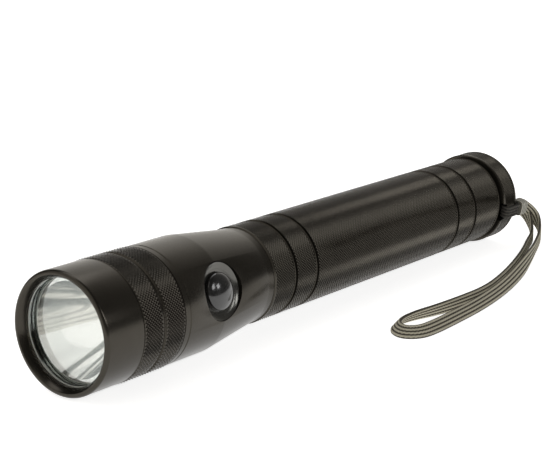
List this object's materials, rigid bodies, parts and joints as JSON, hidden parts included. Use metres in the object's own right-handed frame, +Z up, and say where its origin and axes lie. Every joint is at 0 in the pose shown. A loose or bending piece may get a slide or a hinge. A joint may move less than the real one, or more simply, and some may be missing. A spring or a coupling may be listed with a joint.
{
  "type": "tactical flashlight",
  "caption": "Black handheld flashlight with a flared smooth head, side push switch, knurled barrel, screw-on tail cap and a khaki wrist lanyard.",
  "frame": {"origin": "below the middle of the light's length, level with the ground it lies on (the lanyard is left out)", "axes": "+X the way the beam leaves, +Z up, +Y the side the switch faces; the beam axis climbs half a degree towards the head, because the light lies on the band of its head and the rim of its tail cap"},
  "size_m": [0.2342, 0.0699, 0.0373],
  "materials": {
    "black_anodised": "satin black anodised, with bands of fine diamond knurling",
    "lens_glass": "clear polished glass",
    "black_rubber": "soft matt",
    "reflector_mirror": "smooth vacuum-plated mirror",
    "led_resin": "yellow phosphor under clear silicone",
    "white_board": "white solder mask",
    "green_board": "green solder mask",
    "bare_aluminium": "turned bare metal",
    "brass": "bright machined",
    "black_switch": "smooth glossy domed cap",
    "black_ring": "black anodised, polished lip",
    "black_plastic": "moulded nylon",
    "white_plastic": "moulded acetal",
    "plated_wire": "plated spring wire",
    "cell_wrap": "plain blue shrink sleeve",
    "khaki_braid": "ribbed khaki braid, dark between the ribs"
  },
  "bodies": {
    "barrel": {"switch_housing": "black_anodised", "head_seal": "black_rubber", "led_board": "white_board", "led_package": "led_resin", "heat_sink": "bare_aluminium", "heat_sink_ring": "bare_aluminium", "driver_board": "green_board", "bus_rod": "brass", "switch_carrier": "black_plastic", "switch_module": "black_plastic", "switch_retaining_ring": "black_ring", "front_contact": "brass", "front_spring": "plated_wire", "battery_tube": "black_anodised", "battery_cell_1": "cell_wrap", "battery_cell_2": "cell_wrap"},
    "button": {"switch_button": "black_switch", "switch_plunger": "white_plastic"},
    "reflector_carrier": {"reflector": "reflector_mirror"},
    "head": {"bezel": "black_anodised", "lens": "lens_glass", "lens_gasket": "black_rubber"},
    "tail_contacts": {"tail_contact": "brass", "tail_spring": "plated_wire"},
    "tail_end": {"tail_cap": "black_anodised", "tail_seal": "black_rubber", "lanyard_anchor": "khaki_braid", "lanyard_keeper": "khaki_braid", "lanyard_strap": "khaki_braid"}
  },
  "joints": [
    {"name": "button_press", "type": "slide", "parent": "barrel", "child": "button", "axis": [0.0024, -0.9724, -0.2334], "range_m": [0, 0.0012], "stiffness_N_per_m": 1500, "springref_m": -0.0004},
    {"name": "head_advance", "type": "slide", "parent": "barrel", "child": "reflector_carrier", "axis": [0.9999, 0, 0.0105], "range_m": [0, 0.0075]},
    {"name": "head_turn", "type": "hinge", "parent": "reflector_carrier", "child": "head", "pos_m": [0.10179, 0, 0.01873], "axis": [0.9999, 0, 0.0105], "range_deg": [0, 1800]},
    {"name": "tail_retreat", "type": "slide", "parent": "barrel", "child": "tail_contacts", "axis": [-0.9999, 0, -0.0105], "range_m": [0, 0.0075]},
    {"name": "tail_turn", "type": "hinge", "parent": "tail_contacts", "child": "tail_end", "pos_m": [-0.10519, 0, 0.01656], "axis": [-0.9999, 0, -0.0105], "range_deg": [0, 1800]}
  ],
  "couplings": [
    {"joint": "head_advance", "follows": "head_turn", "m_per_rad": 0.00023873},
    {"joint": "tail_retreat", "follows": "tail_turn", "m_per_rad": 0.00023873}
  ]
}
